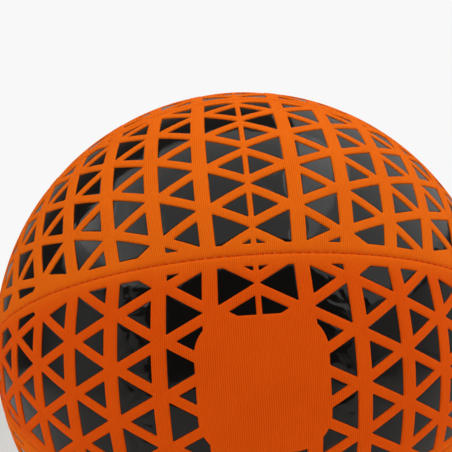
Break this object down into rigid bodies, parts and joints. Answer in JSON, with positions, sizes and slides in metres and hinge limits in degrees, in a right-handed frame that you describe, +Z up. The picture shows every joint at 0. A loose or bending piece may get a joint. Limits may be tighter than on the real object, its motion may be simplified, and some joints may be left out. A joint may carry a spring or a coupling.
{
  "type": "basketball",
  "caption": "Inflatable ball with a sewn orange foam-laminate cover, a lattice of glossy black grip triangles, a rubber bladder and a needle valve.",
  "frame": {"origin": "the ball's centre", "axes": "+X towards one pole where the panel tips meet, +Y out through the valve, +Z up; the plain field faces -Y"},
  "size_m": [0.2398, 0.2399, 0.24],
  "materials": {
    "face_knit": "fine ribbed polyester knit, matt with a soft sheen",
    "cover_foam": "closed-cell foam",
    "lining_knit": "plain polyester knit",
    "grip_film": "smooth glossy polyurethane film, hot pressed into the knit",
    "thread": "twisted polyester sewing thread",
    "bladder_rubber": "moulded butyl rubber",
    "valve_rubber": "moulded rubber, satin",
    "core_rubber": "soft self-sealing rubber"
  },
  "bodies": {
    "root": {"face_1": "face_knit", "face_2": "face_knit", "face_3": "face_knit", "face_4": "face_knit", "face_5": "face_knit", "face_6": "face_knit", "face_7": "face_knit", "face_8": "face_knit", "foam_1": "cover_foam", "foam_2": "cover_foam", "foam_3": "cover_foam", "foam_4": "cover_foam", "foam_5": "cover_foam", "foam_6": "cover_foam", "foam_7": "cover_foam", "foam_8": "cover_foam", "lining_1": "lining_knit", "lining_2": "lining_knit", "lining_3": "lining_knit", "lining_4": "lining_knit", "lining_5": "lining_knit", "lining_6": "lining_knit", "lining_7": "lining_knit", "lining_8": "lining_knit", "grip_film_1": "grip_film", "grip_film_2": "grip_film", "grip_film_3": "grip_film", "grip_film_4": "grip_film", "grip_film_5": "grip_film", "grip_film_6": "grip_film", "grip_film_7": "grip_film", "grip_film_8": "grip_film", "seam_stitches_1": "thread", "seam_stitches_2": "thread", "seam_stitches_3": "thread", "seam_stitches_4": "thread", "seam_stitches_5": "thread", "seam_stitches_6": "thread", "seam_stitches_7": "thread", "seam_stitches_8": "thread", "bladder": "bladder_rubber", "valve_boot": "valve_rubber", "valve_core": "core_rubber"}
  },
  "joints": []
}
